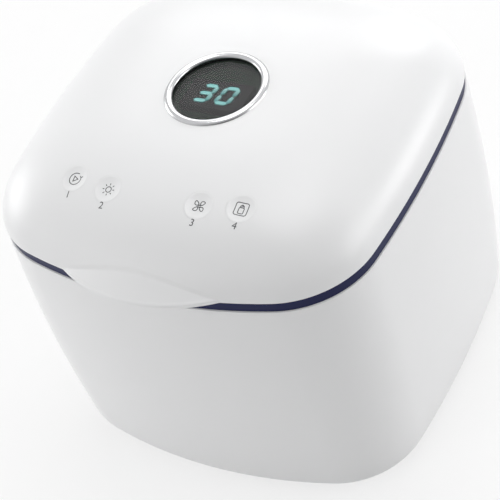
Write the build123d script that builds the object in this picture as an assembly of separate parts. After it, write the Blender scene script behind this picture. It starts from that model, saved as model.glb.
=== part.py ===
from build123d import *
import math
import os

# Outside form in plan: a square with bowed sides and round corners
width = 300.0
depth = 301.0
side_bow = 760.0
front_bow = 371.0
corner_round = 68.5

# Outside form in height, from the floor up
foot_height = 3.0
shell_height = 203.5
band_height = 8.5
dome_height = 48.5
edge_round = 12.0
bottom_taper = 2.7
wall_bulge = 3.6

# Dome profile: two exponents of the side view, and the half size of the flat pad under the display
dome_flatness = 4.18
dome_edge = 1.63
pad_half = 41.0

# Moulding walls and gaps
shell_wall = 3.0
lid_wall = 2.5
seat_gap = 0.3
lid_gap = 0.3
print_gap = 0.1

# Finger lip on the front of the lid
lip_half_width = 62.0
lip_reach = 12.0
lip_edge = 2.2
lip_slope = 40.0
lip_ramp = 14.0

# Navy band and deck
band_inset = 1.2
band_width = 8.8
skirt_drop = 6.0
skirt_width = 2.7
deck_thickness = 4.0

# Chamber
chamber_side_room = 32.0
chamber_front_room = 36.5
chamber_corner = 42.0
chamber_floor = 52.0
sheet = 0.8
flange_width = 5.0
vent_front_room = 30.0
vent_size_y = 36.0
vent_bars = 5
vent_open = 0.6
exhaust_z = 172.0
exhaust_size_x = 84.0
exhaust_size_z = 24.0
exhaust_bars = 6
exhaust_slots = 10
exhaust_slot_width = 4.0
exhaust_slot_height = 18.0
louvre_margin = 5.0
louvre_open = 0.54

# Perforated floor that the bottle rack stands on
grille_height = 24.0
grille_sheet = 1.2
grille_gap = 2.0
grille_leg_room = 26.0
grille_leg_radius = 4.0
grille_slot_width = 6.0
grille_slot_pitch = 13.0
grille_end_room = 30.0
grille_bridge = 14.0
grille_front_room = 29.0

# Bottle rack of steel wire
rack_room = 20.0
rack_height = 72.0
rack_wire = 2.4
rack_rail = 3.4
rack_lift = 0.2
rack_pitch = 17.0

# Ultraviolet tubes, alike below and above the bottles
tube_radius = 7.7
tube_room = 28.0
tube_rise = 12.5
cap_radius = 8.2
cap_length = 9.0
holder_depth = 30.0
holder_length = 14.0
holder_start = 3.0
reflector_half = 30.0
reflector_flat = 16.0
reflector_rise = 12.0
reflector_narrow = 0.985
reflector_end_gap = 3.0

# Blower
blower_side_room = 90.0
blower_back_room = 105.5
blower_lift = 1.0
scroll_radius = 46.0
scroll_wall = 2.0
scroll_height = 30.0
outlet_width = 40.0
impeller_radius = 34.0
impeller_height = 20.0
impeller_gap = 1.5
hub_radius = 17.0
blade_count = 28
blade_depth = 8.0
blade_thick = 1.0
blade_lean = 30.0
blade_reach = 1.04
inlet_radius = 26.0
motor_radius = 14.0
motor_height = 13.0
shaft_length = 6.0
hub_thick = 4.0
hub_gap = 1.0
disc_thick = 2.0
mount_radius = 3.0
mount_room = 4.0
shaft_radius = 1.5
shaft_gap = 0.05
cover_thick = 2.0

# Heater and air duct
heater_depth = 18.0
heater_wall = 2.0
fin_count = 13
fin_thick = 0.6
fin_room = 3.0
heater_bar = 3.0
duct_wall = 1.6
duct_gap = 1.0
duct_run = 11.4

# Bottom plate and feet
plate_thick = 3.0
plate_inset = 21.0
plate_gap = 0.4
foot_radius = 11.0
foot_sink = 1.0
foot_room_x = 58.0
foot_room_y = 52.5
base_boss_room_x = 38.0
base_boss_room_y = 54.5
base_boss_height = 16.0
base_web = 48.0
boss_radius = 5.0
web_thick = 2.4

# Screws: pan heads
screw_radius = 1.5
screw_gap = 0.05
head_radius = 2.9
head_height = 1.6
head_gap = 0.3
base_screw = 12.0
deck_screw = 14.0
lid_screw = 8.0

# Posts under the deck
post_room = 39.0
post_low = 150.0
post_hole_low = 180.0
post_web = 32.0

# Rear filter tray
rear_cut = 20.0
filter_width = 80.0
filter_low = 14.0
filter_height = 20.0
filter_depth = 34.0
filter_room = 19.5
filter_gap = 0.5
filter_margin = 8.0
filter_open = 0.6
tray_wall = 1.6
tray_rail = 2.0
tray_room = 3.0
pad_height = 10.0
filter_bars = 7

# Power inlet at the back
inlet_side_room = 80.0
inlet_z = 27.0
inlet_half_x = 14.0
inlet_half_z = 9.0
inlet_depth = 24.0
socket_pitch = 8.6
socket_width = 9.4
socket_depth = 14.0
pin_radius = 1.2
pin_length = 9.0
pin_root = 5.0

# Main board in the base
board_side_room = 82.0
board_y = -20.0
board_size_x = 96.0
board_size_y = 104.0
board_thick = 1.6
board_lift = 8.0
standoff_radius = 3.0
board_margin = 6.0

# Hinge at the back
hinge_out = 6.5
hinge_drop = 2.5
barrel_radius = 5.5
arm_half = 20.0
ear_width = 7.0
ear_gap = 0.4
pin_shaft = 3.0
pin_play = 0.05
bush_wall = 1.2
bush_length = 12.0
bracket_height = 16.0
bracket_low = 188.0
bracket_plate = 2.4
bracket_screw_x = 13.0
bracket_boss_depth = 12.0
bracket_boss_radius = 4.0
arm_thick = 4.0
arm_inset = 24.0

# Display in the middle of the lid
bezel_outer = 38.0
bezel_inner = 33.2
bezel_lift = 2.0
bezel_skirt = 2.0
bezel_depth = 12.0
window_thick = 1.8
window_drop = 3.8
module_x = 48.0
module_y = 27.0
digit_y = -2.0
digit_width = 12.4
digit_height = 18.0
digit_pitch = 17.0
digit_stroke = 2.6
digit_slant = 10.0
digit_thick = 0.6
digit_gap = 0.5

# Four round keys on the front slope of the lid
key_radius = 10.7
key_gap = 0.2
key_outer_x = 65.5
key_outer_front = 53.5
key_inner_x = 35.7
key_inner_front = 49.2
key_depth = 7.0
key_flange = 1.2
key_travel = 0.8
key_stem = 2.6
dish_radius = 9.4
dish_depth = 0.8
key_board_drop = 22.0
key_board_x = 160.0
key_board_y = 26.0
key_board_leg = 3.0
key_board_edge = 6.0
key_board_spread = 16.0
switch_size = 6.0
switch_height = 4.3

# Inner pan of the lid
liner_thick = 3.2
liner_inset = 3.9
lamp_pan_room = 6.0
lamp_pan_y = 76.0
lamp_pan_corner = 12.0
lamp_pan_rise = 26.0
lamp_pan_wall = 1.6
guard_rim = 5.0
guard_sheet = 1.0
guard_slot_pitch = 9.0
guard_slot_width = 5.0
guard_slot_room = 15.0
guard_slot_edge = 7.0
seal_width = 6.0
seal_out = 2.0
lid_screw_side_room = 26.0
lid_screw_y = 52.0
lid_screw_back_room = 28.5
lid_screw_back_x = 66.0
lid_screw_front_room = 24.5
lid_screw_front_x = 52.0
arm_screw_x = 12.0
arm_screw_room = 16.0
arm_notch = 12.0
lid_boss_radius = 4.2
magnet_radius = 5.0
magnet_height = 3.0
magnet_side_room = 22.0
magnet_y = 20.0
reed_x = 10.0
reed_y = 18.0
reed_height = 6.0

# Heights and places that follow from the sizes above
shell_top = foot_height + shell_height
seam = shell_top + band_height
pad_top = seam + dome_height
floor_bottom = foot_height + plate_thick
hinge_y = depth / 2 + hinge_out
hinge_z = seam - hinge_drop
grille_z = chamber_floor + grille_height
rack_z = grille_z + grille_sheet + rack_lift
lower_tube_z = chamber_floor + tube_rise
upper_tube_z = seam + tube_rise + guard_sheet
flat_share = pad_half / (width / 2)
hole = screw_radius + screw_gap
chamber_x = width - 2 * chamber_side_room
chamber_y = depth - 2 * chamber_front_room
tube_length = chamber_x - 2 * tube_room
rack_x = chamber_x - 2 * rack_room
rack_y = chamber_y - 2 * rack_room
grille_leg_x = chamber_x / 2 - grille_leg_room
grille_leg_y = chamber_y / 2 - grille_leg_room
grille_slot_length = chamber_y / 2 - grille_front_room - grille_bridge / 2
lamp_pan_x = chamber_x - 2 * lamp_pan_room
foot_x = width / 2 - foot_room_x
foot_y = depth / 2 - foot_room_y
base_boss_x = width / 2 - base_boss_room_x
base_boss_y = depth / 2 - base_boss_room_y
post_x = width / 2 - post_room
post_y = depth / 2 - post_room
board_x = width / 2 - board_side_room
inlet_x = width / 2 - inlet_side_room
magnet_x = width / 2 - magnet_side_room
blower_x = blower_side_room - width / 2
blower_y = depth / 2 - blower_back_room
blower_low = floor_bottom + blower_lift
blower_high = blower_low + scroll_height
outlet_low_x = blower_x + scroll_radius - outlet_width
outlet_high_x = blower_x + scroll_radius
vent_x = (outlet_low_x + outlet_high_x) / 2
vent_y = vent_front_room - chamber_y / 2
vent_size_x = outlet_width - 2 * duct_wall
riser_front = vent_y - vent_size_y / 2 - duct_wall - duct_gap
riser_back = vent_y + vent_size_y / 2 + duct_wall + duct_gap
heater_front = riser_back + duct_run
heater_back = heater_front + heater_depth
filter_x = blower_x
arm_screw_y = depth / 2 - arm_screw_room
key_outer_y = key_outer_front - depth / 2
key_inner_y = key_inner_front - depth / 2
lid_screws_at = (
    (width / 2 - lid_screw_side_room, lid_screw_y),
    (width / 2 - lid_screw_side_room, -lid_screw_y),
    (lid_screw_back_x, depth / 2 - lid_screw_back_room),
    (lid_screw_front_x, lid_screw_front_room - depth / 2),
)


def box(x_low, x_high, y_low, y_high, z_low, z_high):
    """Block between two corners."""
    middle = Pos((x_low + x_high) / 2, (y_low + y_high) / 2, (z_low + z_high) / 2)
    return middle * Box(x_high - x_low, y_high - y_low, z_high - z_low)


def post(x, y, z_low, z_high, radius):
    """Upright round post."""
    return Pos(x, y, (z_low + z_high) / 2) * Cylinder(radius, z_high - z_low)


def rod_x(x_low, x_high, y, z, radius):
    """Round rod along X."""
    return Pos((x_low + x_high) / 2, y, z) * Rot(0, 90, 0) * Cylinder(radius, x_high - x_low)


def rod_y(x, y_low, y_high, z, radius):
    """Round rod along Y."""
    return Pos(x, (y_low + y_high) / 2, z) * Rot(90, 0, 0) * Cylinder(radius, y_high - y_low)


def round_plate(size_x, size_y, corner, z_low, z_high):
    """Flat plate with round corners, centred on the box."""
    face = Pos(0, 0, z_low) * RectangleRounded(size_x, size_y, corner)
    return extrude(face, z_high - z_low)


def side_profile(points, x_low, x_high):
    """Solid with the given (y, z) outline between two values of x."""
    face = Plane.YZ.offset(x_low) * make_face(Polyline(*points, close=True))
    return extrude(face, x_high - x_low)


def group(items):
    """Separate solids held in one node."""
    return Compound([solid for item in items for solid in item.solids()])


def corners(x, y):
    """The four mirrored places of one point."""
    return [(x, y), (-x, y), (-x, -y), (x, -y)]


def corner_centre():
    """Centre of the corner arc in the +X +Y quarter."""
    side_centre = width / 2 - side_bow
    front_centre = depth / 2 - front_bow
    near = side_bow - corner_round
    far = front_bow - corner_round
    gap = math.hypot(side_centre, front_centre)
    along = (near ** 2 - far ** 2 + gap ** 2) / (2 * gap)
    across = math.sqrt(near ** 2 - along ** 2)
    step_x = -side_centre / gap
    step_y = front_centre / gap
    return side_centre + step_x * along - step_y * across, step_y * along + step_x * across


def quarter_points(inset):
    """Ends and middles of the arcs in the +X +Y quarter of the plan outline."""
    side_centre = width / 2 - side_bow
    front_centre = depth / 2 - front_bow
    corner_x, corner_y = corner_centre()
    side_angle = math.atan2(corner_y, corner_x - side_centre)
    front_angle = math.atan2(corner_y - front_centre, corner_x)
    middle_angle = (side_angle + front_angle) / 2
    round_radius = corner_round - inset
    side_end = (corner_x + round_radius * math.cos(side_angle),
                corner_y + round_radius * math.sin(side_angle))
    front_end = (corner_x + round_radius * math.cos(front_angle),
                 corner_y + round_radius * math.sin(front_angle))
    middle = (corner_x + round_radius * math.cos(middle_angle),
              corner_y + round_radius * math.sin(middle_angle))
    return side_end, middle, front_end


def outline(inset=0.0, z=0.0, share=1.0):
    """Face inside the plan outline, moved in by inset and then scaled by share."""
    side_end, middle, front_end = quarter_points(inset)
    half_x = width / 2 - inset
    half_y = depth / 2 - inset

    def arc(first, second, third):
        return ThreePointArc(*[(x * share, y * share, z) for x, y in (first, second, third)])

    def flip(point, x_sign, y_sign):
        return point[0] * x_sign, point[1] * y_sign

    edges = [arc(flip(side_end, 1, -1), (half_x, 0), side_end)]
    edges.append(arc(side_end, middle, front_end))
    edges.append(arc(front_end, (0, half_y), flip(front_end, -1, 1)))
    edges.append(arc(flip(front_end, -1, 1), flip(middle, -1, 1), flip(side_end, -1, 1)))
    edges.append(arc(flip(side_end, -1, 1), (-half_x, 0), flip(side_end, -1, -1)))
    edges.append(arc(flip(side_end, -1, -1), flip(middle, -1, -1), flip(front_end, -1, -1)))
    edges.append(arc(flip(front_end, -1, -1), (0, -half_y), flip(front_end, 1, -1)))
    edges.append(arc(flip(front_end, 1, -1), flip(middle, 1, -1), flip(side_end, 1, -1)))
    return Face(Wire(edges))


def plate(inset, z_low, z_high):
    """Upright slab with the plan outline of the box."""
    return extrude(outline(inset, z_low), z_high - z_low, dir=(0, 0, 1))


def reach(angle):
    """Distance from the middle to the plan outline, in a direction of the first quarter."""
    corner_x, corner_y = corner_centre()
    side_end, middle, front_end = quarter_points(0)
    centres = (
        (width / 2 - side_bow, 0.0, side_bow),
        (corner_x, corner_y, corner_round),
        (0.0, depth / 2 - front_bow, front_bow),
    )
    if angle <= math.atan2(side_end[1], side_end[0]):
        centre_x, centre_y, radius = centres[0]
    elif angle <= math.atan2(front_end[1], front_end[0]):
        centre_x, centre_y, radius = centres[1]
    else:
        centre_x, centre_y, radius = centres[2]
    shift = centre_x * math.cos(angle) + centre_y * math.sin(angle)
    return shift + math.sqrt(radius ** 2 - centre_x ** 2 - centre_y ** 2 + shift ** 2)


def dome_rise(share):
    """Height of the lid above the seam, where share is 0 in the middle and 1 at the rim."""
    if share <= flat_share:
        return dome_height
    return dome_height * (1 - share ** dome_flatness) ** (1 / dome_edge)


def dome_z(x, y):
    """Height of the lid's outer surface at a place in plan."""
    share = math.hypot(x, y) / reach(math.atan2(abs(y), abs(x)))
    return seam + dome_rise(min(share, 1.0))


def dome_plane(x, y):
    """Plane that touches the lid's outer surface at a place in plan."""
    step = 0.5
    slope_x = (dome_z(x + step, y) - dome_z(x - step, y)) / (2 * step)
    slope_y = (dome_z(x, y + step) - dome_z(x, y - step)) / (2 * step)
    return Plane(origin=(x, y, dome_z(x, y)), x_dir=(1, 0, slope_x), z_dir=(-slope_x, -slope_y, 1))


def shell_inset(z):
    """How far the side wall stands in from the plan outline at height z."""
    down = (shell_top - z) / (shell_top - foot_height - edge_round)
    return bottom_taper * down - wall_bulge * 4 * down * (1 - down)


def body_form(inset):
    """Solid of the body's outside, moved in by inset all over but at the top."""
    wall_levels = [shell_top - step / 6 * (shell_height - edge_round) for step in range(7)]
    wall = loft([outline(inset + shell_inset(z), z) for z in wall_levels])
    radius = edge_round - inset
    sections = []
    for step in range(6):
        turn = math.radians(90 * step / 5)
        level = foot_height + edge_round - radius * math.sin(turn)
        sections.append(outline(inset + bottom_taper + radius * (1 - math.cos(turn)), level))
    return wall + loft(sections)


def lid_form(inset):
    """Solid of the lid's dome, moved in by inset."""
    shares = (1.0, 0.997, 0.99, 0.975, 0.95, 0.915, 0.87, 0.81, 0.73, 0.64, 0.54, 0.44, 0.35, flat_share)
    rise_share = 1 - inset / dome_height
    return loft([outline(inset, seam + dome_rise(share) * rise_share, share) for share in shares])


def finger_lip():
    """Ramp that runs out of the dome to a thin edge at the seam."""
    sag = lip_reach + front_bow - math.sqrt(front_bow ** 2 - lip_half_width ** 2)
    radius = (lip_half_width ** 2 + sag ** 2) / (2 * sag)
    centre_y = -depth / 2 - lip_reach + radius
    top_radius = radius - lip_ramp / math.tan(math.radians(lip_slope))
    edge = post(0, centre_y, seam, seam + lip_edge, radius)
    ramp = Pos(0, centre_y, seam + lip_edge + lip_ramp / 2) * Cone(radius, top_radius, lip_ramp)
    return edge + ramp


body_outer = body_form(0)
body_inner = body_form(shell_wall)
dome_outer = lid_form(0)
dome_inner = lid_form(lid_wall)
lid_outer = dome_outer + finger_lip()


def wall_piece(x_low, x_high, y_low, z_low, z_high):
    """Piece of the rear wall that follows its outer and inner faces."""
    block = box(x_low, x_high, y_low, depth, z_low, z_high)
    return block & (body_outer - body_inner)


def screw(x, y, z, length, up=True):
    """Pan-head screw whose head rests at z and whose shank points up or down."""
    way = 1 if up else -1
    shank = Pos(x, y, z + way * length / 2) * Cylinder(screw_radius, length)
    head = Pos(x, y, z - way * head_height / 2) * Cylinder(head_radius, head_height)
    return shank + head


# Keys: all travel along one direction, square to the board below them
key_places = (
    (-key_outer_x, key_outer_y),
    (-key_inner_x, key_inner_y),
    (key_inner_x, key_inner_y),
    (key_outer_x, key_outer_y),
)
panel_y = (key_outer_y + key_inner_y) / 2
panel = dome_plane(0, panel_y)
panel_tilt = math.degrees(math.atan2(-panel.z_dir.Y, panel.z_dir.Z))


def key_frame(place):
    """Frame at a key's middle on the dome, turned like the key board."""
    x, y = place
    return Pos(x, y, dome_z(x, y)) * Rot(panel_tilt, 0, 0)


def key_board_level(place):
    """Depth of the key board's top below a key's middle."""
    local = panel.to_local_coords(Vector(place[0], place[1], dome_z(*place)))
    return key_board_drop + local.Z


def web(x, y, length, z_low, z_high):
    """Upright rib that runs outward from a boss to the side wall."""
    turn = Rot(0, 0, math.degrees(math.atan2(y, x)))
    return Pos(x, y, (z_low + z_high) / 2) * turn * Pos(length / 2, 0, 0) * Box(length, web_thick,
                                                                                z_high - z_low)


def rear_opening(x, z, half_x, half_z):
    """Block that cuts an opening through the rear wall."""
    return box(x - half_x, x + half_x, depth / 2 - rear_cut, depth, z - half_z, z + half_z)


def make_body_shell():
    shell = body_outer - body_inner
    shell -= plate(plate_inset, foot_height - 1, foot_height + shell_wall + 1)
    boss_top = floor_bottom + base_boss_height
    for x, y in corners(base_boss_x, base_boss_y):
        boss = post(x, y, floor_bottom, boss_top, boss_radius)
        shell += (boss + web(x, y, base_web, floor_bottom, boss_top)) & body_outer
        shell -= post(x, y, floor_bottom - 1, boss_top - 2, hole)
    web_top = shell_top - skirt_drop - seat_gap
    for x, y in corners(post_x, post_y):
        column = post(x, y, post_low, shell_top - deck_thickness, boss_radius)
        shell += (column + web(x, y, post_web, post_low, web_top)) & body_outer
        shell -= post(x, y, post_hole_low, shell_top, hole)
    filter_z = filter_low + filter_height / 2
    shell -= rear_opening(filter_x, filter_z, filter_width / 2 + filter_gap, filter_height / 2 + filter_gap)
    shell -= rear_opening(inlet_x, inlet_z, inlet_half_x + seat_gap, inlet_half_z + seat_gap)
    shell -= rear_opening(0, exhaust_z, exhaust_size_x / 2 + seat_gap, exhaust_size_z / 2 + seat_gap)
    for side in (-1, 1):
        x = side * bracket_screw_x
        z = bracket_low + bracket_height / 2
        boss = rod_y(x, depth / 2 - shell_wall - bracket_boss_depth, depth / 2 - 1, z, bracket_boss_radius)
        shell += boss & body_outer
        shell -= rod_y(x, depth / 2 - bracket_boss_depth, depth, z, hole)
    return shell


def make_base_plate():
    """Bottom plate with board standoffs, foot pockets and screw holes."""
    base = plate(plate_inset + plate_gap, foot_height, floor_bottom)
    for x, y in corners(foot_x, foot_y):
        base -= post(x, y, foot_height - 1, foot_height + foot_sink, foot_radius + print_gap)
    for x, y in corners(base_boss_x, base_boss_y):
        base -= post(x, y, foot_height - 1, floor_bottom + 1, hole + head_gap / 2)
        base -= post(x, y, foot_height - 1, foot_height + head_height, head_radius + head_gap)
    reach_x = board_size_x / 2 - board_margin
    reach_y = board_size_y / 2 - board_margin
    for x, y in corners(reach_x, reach_y):
        base += post(board_x + x, board_y + y, floor_bottom, floor_bottom + board_lift, standoff_radius)
    return base


def make_feet():
    return group([post(x, y, 0, foot_height + foot_sink, foot_radius) for x, y in corners(foot_x, foot_y)])


def make_trim_ring():
    ring = plate(band_inset, shell_top, seam - lid_gap)
    ring -= plate(band_inset + band_width, shell_top - 1, seam)
    skirt = plate(shell_wall + seat_gap, shell_top - skirt_drop, shell_top)
    skirt -= plate(shell_wall + seat_gap + skirt_width, shell_top - skirt_drop - 1, shell_top + 1)
    return ring + skirt


def make_top_frame():
    deck = plate(shell_wall + seat_gap * 2 + skirt_width, shell_top - deck_thickness, shell_top)
    opening = 2 * (sheet + seat_gap)
    deck -= round_plate(chamber_x + opening, chamber_y + opening, chamber_corner + sheet + seat_gap,
                        shell_top - deck_thickness - 1, shell_top + 1)
    for x, y in corners(post_x, post_y):
        deck -= post(x, y, shell_top - deck_thickness - 1, shell_top + 1, hole + head_gap / 2)
        deck -= post(x, y, shell_top - head_height, shell_top + 1, head_radius + head_gap)
    return deck


def vent_slots(centre_x, centre_y, size_x, size_y, count, z_low, z_high):
    """Row of slots along X, side by side along Y."""
    pitch = size_y / count
    half = pitch * vent_open / 2
    slots = []
    for index in range(count):
        middle = centre_y - size_y / 2 + pitch * (index + 0.5)
        slots.append(box(centre_x - size_x / 2, centre_x + size_x / 2, middle - half, middle + half,
                         z_low, z_high))
    return slots


def make_chamber_liner():
    liner = round_plate(chamber_x + 2 * sheet, chamber_y + 2 * sheet, chamber_corner + sheet,
                        chamber_floor - sheet, shell_top)
    grown = 2 * (sheet + flange_width)
    liner += round_plate(chamber_x + grown, chamber_y + grown, chamber_corner + sheet + flange_width,
                         shell_top, shell_top + sheet)
    liner -= round_plate(chamber_x, chamber_y, chamber_corner, chamber_floor, shell_top + sheet + 1)
    for slot in vent_slots(vent_x, vent_y, vent_size_x, vent_size_y, vent_bars,
                           chamber_floor - sheet - 1, chamber_floor + 1):
        liner -= slot
    pitch = exhaust_size_x / (exhaust_slots + 2)
    half_x = exhaust_slot_width / 2
    half_z = exhaust_slot_height / 2
    for index in range(exhaust_slots):
        x = (index - (exhaust_slots - 1) / 2) * pitch
        y_low = chamber_y / 2 - 1
        liner -= box(x - half_x, x + half_x, y_low, y_low + sheet + 2, exhaust_z - half_z,
                     exhaust_z + half_z)
    return liner


def make_exhaust_duct():
    """Square tube from the chamber's back wall to the outlet grille."""
    y_low = chamber_y / 2 + sheet
    y_high = depth / 2 - shell_wall - 2.0
    half_x = exhaust_size_x / 2
    half_z = exhaust_size_z / 2
    outer = box(-half_x, half_x, y_low, y_high, exhaust_z - half_z, exhaust_z + half_z)
    half_x -= duct_wall
    half_z -= duct_wall
    return outer - box(-half_x, half_x, y_low - 1, y_high + 1, exhaust_z - half_z, exhaust_z + half_z)


def make_exhaust_grille():
    """Louvred outlet that follows the back wall."""
    half_x = exhaust_size_x / 2
    low = exhaust_z - exhaust_size_z / 2
    grille = wall_piece(-half_x, half_x, depth / 2 - rear_cut, low, low + exhaust_size_z)
    pitch = exhaust_size_z / exhaust_bars
    open_half = pitch * louvre_open / 2
    open_x = half_x - louvre_margin
    for index in range(exhaust_bars - 1):
        middle = low + pitch * (index + 1)
        grille -= box(-open_x, open_x, depth / 2 - rear_cut, depth, middle - open_half, middle + open_half)
    return grille


def make_floor_grille():
    size_x = chamber_x - 2 * grille_gap
    size_y = chamber_y - 2 * grille_gap
    floor = round_plate(size_x, size_y, chamber_corner - grille_gap, grille_z, grille_z + grille_sheet)
    count = int((size_x - 2 * grille_end_room) / grille_slot_pitch)
    for index in range(count):
        x = (index - (count - 1) / 2) * grille_slot_pitch
        for side in (-1, 1):
            y = side * (grille_slot_length + grille_bridge) / 2
            slot = Pos(x, y, grille_z + grille_sheet / 2) * Box(grille_slot_width, grille_slot_length,
                                                                grille_sheet * 3)
            floor -= slot
    for x, y in corners(grille_leg_x, grille_leg_y):
        floor += post(x, y, chamber_floor, grille_z, grille_leg_radius)
    return floor


def make_tube(level):
    return rod_x(-tube_length / 2, tube_length / 2, 0, level, tube_radius)


def make_tube_caps(level):
    ends = []
    for side in (-1, 1):
        low, high = sorted((side * tube_length / 2, side * (tube_length / 2 + cap_length)))
        ends.append(rod_x(low, high, 0, level, cap_radius))
    return group(ends)


def make_tube_holders(level, z_low, z_high):
    """Two blocks with a blind socket for the tube's end caps."""
    blocks = []
    start = tube_length / 2 + holder_start
    for side in (-1, 1):
        low, high = sorted((side * start, side * (start + holder_length)))
        block = box(low, high, -holder_depth / 2, holder_depth / 2, z_low, z_high)
        inner, outer = sorted((side * (start - 1), side * (tube_length / 2 + cap_length + print_gap)))
        blocks.append(block - rod_x(inner, outer, 0, level, cap_radius + print_gap))
    return group(blocks)


def make_reflector(bottom, way):
    """Bent mirror sheet behind a tube, open towards the bottles."""
    half = tube_length / 2 - reflector_end_gap
    tip = bottom + way * reflector_rise
    outer = [(-reflector_half, tip), (-reflector_flat, bottom), (reflector_flat, bottom),
             (reflector_half, tip)]
    inner = [(y * reflector_narrow, z + way * sheet) for y, z in reversed(outer)]
    return side_profile(outer + inner, -half, half)


def rack_panel(length, along_x, place):
    """Upright wire grille: three rails and a row of uprights."""
    half = length / 2
    low = rack_z + rack_rail + print_gap
    top = rack_z + rack_height - rack_rail / 2
    count = int(length / rack_pitch)
    panel_form = Part()
    for level in (low + rack_rail / 2, (low + top) / 2, top):
        if along_x:
            panel_form += rod_x(-half, half, place, level, rack_rail / 2)
        else:
            panel_form += rod_y(place, -half, half, level, rack_rail / 2)
    for index in range(count + 1):
        step = -half + rack_rail + index * (length - 2 * rack_rail) / count
        x, y = (step, place) if along_x else (place, step)
        panel_form += post(x, y, low + rack_rail / 2, top, rack_wire / 2)
    return panel_form


def make_rack_floor():
    """Flat wire floor of the rack."""
    level = rack_z + rack_rail / 2
    half_x = rack_x / 2
    half_y = rack_y / 2
    floor = Part()
    for y in (-half_y + rack_rail / 2, -half_y / 3, half_y / 3, half_y - rack_rail / 2):
        floor += rod_x(-half_x, half_x, y, level, rack_rail / 2)
    count = int(rack_x / rack_pitch)
    for index in range(count + 1):
        x = -half_x + rack_rail + index * (rack_x - 2 * rack_rail) / count
        floor += rod_y(x, -half_y + rack_rail / 2, half_y - rack_rail / 2, level, rack_wire / 2)
    return floor


def scroll_form(inset, z_low, z_high, overrun):
    """Spiral-sided housing: a drum with a straight outlet towards the front."""
    drum = post(blower_x, blower_y, z_low, z_high, scroll_radius - inset)
    outlet = box(outlet_low_x + inset, outlet_high_x - inset, heater_back - overrun, blower_y, z_low,
                 z_high)
    return drum + outlet


def make_blower_housing():
    housing = scroll_form(0, blower_low, blower_high, 0)
    housing -= scroll_form(scroll_wall, blower_low + scroll_wall, blower_high + 1, 5)
    for turn in (60, 180, 300):
        x = blower_x + (motor_radius + mount_room) * math.cos(math.radians(turn))
        y = blower_y + (motor_radius + mount_room) * math.sin(math.radians(turn))
        housing += post(x, y, floor_bottom, blower_low, mount_radius)
    return housing


def make_blower_cover():
    high = blower_high + cover_thick
    return scroll_form(0, blower_high, high, 0) - post(blower_x, blower_y, blower_high - 1, high + 1,
                                                       inlet_radius)


def make_blower_motor():
    low = blower_low + scroll_wall
    high = low + motor_height
    motor = post(blower_x, blower_y, low, high, motor_radius)
    return motor + post(blower_x, blower_y, high, high + shaft_length, shaft_radius)


def make_impeller():
    """Drum wheel with leaning blades round a hub that covers the motor."""
    low = blower_low + scroll_wall + impeller_gap
    high = low + impeller_height
    hub_top = blower_low + scroll_wall + motor_height + hub_gap

    def drum(z_low, z_high, radius):
        return post(blower_x, blower_y, z_low, z_high, radius)

    wheel = drum(low + disc_thick, hub_top + hub_thick, hub_radius) + drum(low, low + disc_thick,
                                                                           impeller_radius)
    wheel -= drum(low - 1, hub_top, motor_radius + hub_gap)
    wheel += drum(high - disc_thick, high, impeller_radius) - drum(low, high + 1,
                                                                   impeller_radius - blade_depth)
    blades = []
    middle = impeller_radius - blade_depth / 2
    for index in range(blade_count):
        turn = 360 * index / blade_count
        blade = Box(blade_depth * blade_reach, blade_thick, impeller_height - disc_thick)
        place = Pos(blower_x, blower_y, (low + high) / 2) * Rot(0, 0, turn) * Pos(middle, 0, 0)
        blades.append(place * Rot(0, 0, blade_lean) * blade)
    wheel += blades
    return wheel - drum(hub_top - 1, hub_top + hub_thick + 1, shaft_radius + shaft_gap)


def make_heater_frame():
    frame = box(outlet_low_x, outlet_high_x, heater_front, heater_back, blower_low, blower_high)
    x_low = outlet_low_x + heater_wall
    x_high = outlet_high_x - heater_wall
    low = blower_low + heater_wall
    high = blower_high - heater_wall
    return frame - box(x_low, x_high, heater_front - 1, heater_back + 1, low, high)


def make_heater_fins():
    x_low = outlet_low_x + heater_wall
    x_high = outlet_high_x - heater_wall
    y_low = heater_front + fin_room
    y_high = heater_back - fin_room
    low = blower_low + heater_wall
    high = blower_high - heater_wall
    middle = (low + high) / 2
    fins = box(x_low, x_high, y_low, y_high, middle - heater_bar / 2, middle + heater_bar / 2)
    for index in range(fin_count):
        x = x_low + (x_high - x_low) * (index + 0.5) / fin_count
        fins += box(x - fin_thick / 2, x + fin_thick / 2, y_low, y_high, low, high)
    return fins


def make_air_duct():
    """Duct from the heater that turns up under the chamber's floor vent."""
    top = chamber_floor - sheet
    duct = box(outlet_low_x, outlet_high_x, riser_front, heater_front, blower_low, blower_high)
    duct += box(outlet_low_x, outlet_high_x, riser_front, riser_back, blower_low, top)
    x_low = outlet_low_x + duct_wall
    x_high = outlet_high_x - duct_wall
    y_low = riser_front + duct_wall
    low = blower_low + duct_wall
    inner = box(x_low, x_high, y_low, heater_front + 1, low, blower_high - duct_wall)
    inner += box(x_low, x_high, y_low, riser_back - duct_wall, low, top + 1)
    duct = duct - inner
    for x in (outlet_low_x + mount_room, outlet_high_x - mount_room):
        duct += post(x, riser_front + mount_room, floor_bottom, blower_low, mount_radius)
    return duct


def make_filter_housing():
    """Guide box for the tray, open at the back and at the top."""
    x_low = filter_x - filter_width / 2 - filter_gap - duct_wall
    x_high = filter_x + filter_width / 2 + filter_gap + duct_wall
    y_high = depth / 2 - shell_wall - filter_room
    y_low = y_high - filter_depth
    low = filter_low - filter_gap - duct_wall
    high = filter_low + filter_height + filter_gap
    guide = box(x_low, x_high, y_low, y_high, low, high)
    guide -= box(x_low + duct_wall, x_high - duct_wall, y_low + duct_wall, y_high + 1, low + duct_wall,
                 high + 1)
    for x in (x_low + 8, x_high - 8):
        for y in (y_low + 5, y_high - 9):
            guide += post(x, y, floor_bottom, low, mount_radius)
    return guide


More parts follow.
